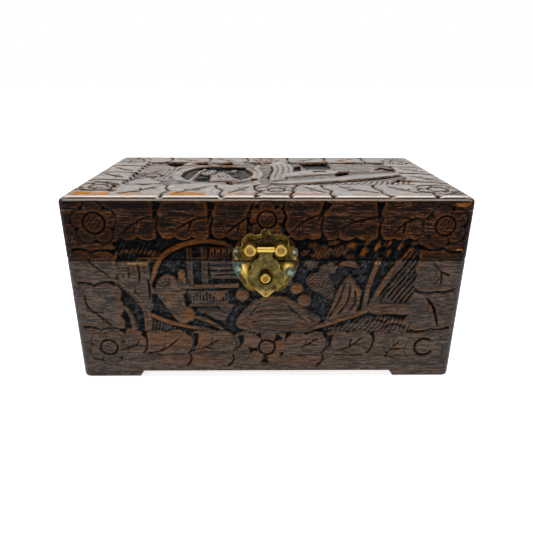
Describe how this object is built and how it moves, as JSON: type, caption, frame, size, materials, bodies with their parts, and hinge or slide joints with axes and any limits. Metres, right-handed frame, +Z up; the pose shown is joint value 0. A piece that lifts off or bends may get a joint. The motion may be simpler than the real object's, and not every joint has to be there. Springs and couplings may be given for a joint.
{
  "type": "jewelry box",
  "caption": "Carved camphorwood jewelry box with a hinged lid, a brass hasp latch, cut-out feet and a lift-out tray.",
  "frame": {"origin": "on the surface it stands on, at the middle of the whole footprint, latch and hinge barrels included", "axes": "+X to the right along the front, +Z up, -Y towards the front with the latch"},
  "size_m": [0.3, 0.19, 0.15],
  "materials": {
    "carved_wood": "carved, dark stained camphorwood under worn gloss varnish",
    "bare_wood": "plain planed camphorwood",
    "latch_brass": "aged stamped and turned brass",
    "hinge_brass": "aged brass",
    "nail_steel": "dull steel",
    "tarnished_brass": "brass with verdigris"
  },
  "bodies": {
    "case": {"front_board": "carved_wood", "back_board": "carved_wood", "left_board": "carved_wood", "right_board": "carved_wood", "floor_panel": "bare_wood", "tray_cleat_left": "bare_wood", "tray_cleat_right": "bare_wood", "hinge_left_body_leaf": "hinge_brass", "hinge_left_pin": "hinge_brass", "hinge_left_body_screws": "hinge_brass", "hinge_right_body_leaf": "hinge_brass", "hinge_right_pin": "hinge_brass", "hinge_right_body_screws": "hinge_brass", "latch_lower_plate": "latch_brass", "latch_peg": "latch_brass", "latch_lower_nails": "tarnished_brass"},
    "lid": {"lid_top": "carved_wood", "lid_front_rail": "carved_wood", "lid_back_rail": "carved_wood", "lid_left_rail": "carved_wood", "lid_right_rail": "carved_wood", "hinge_left_lid_leaf": "hinge_brass", "hinge_left_lid_screws": "hinge_brass", "hinge_right_lid_leaf": "hinge_brass", "hinge_right_lid_screws": "hinge_brass", "latch_upper_plate": "latch_brass", "latch_left_post": "latch_brass", "latch_right_post": "latch_brass", "latch_rod": "latch_brass", "latch_upper_nails": "nail_steel"},
    "hasp": {"latch_hasp": "latch_brass"},
    "tray": {"tray_front": "bare_wood", "tray_back": "bare_wood", "tray_left_end": "bare_wood", "tray_right_end": "bare_wood", "tray_floor": "bare_wood", "tray_long_divider": "bare_wood", "tray_left_divider": "bare_wood", "tray_right_divider": "bare_wood"}
  },
  "joints": [
    {"name": "lid_hinge", "type": "hinge", "parent": "case", "child": "lid", "pos_m": [0, 0.09285, 0.10215], "axis": [-1, 0, 0], "range_deg": [0, 100]},
    {"name": "hasp_swing", "type": "hinge", "parent": "lid", "child": "hasp", "pos_m": [0, -0.09185, 0.11315], "axis": [-1, 0, 0], "range_deg": [0, 185]},
    {"name": "tray_lift", "type": "slide", "parent": "case", "child": "tray", "axis": [0, 0, 1], "range_m": [0, 0.038]}
  ]
}
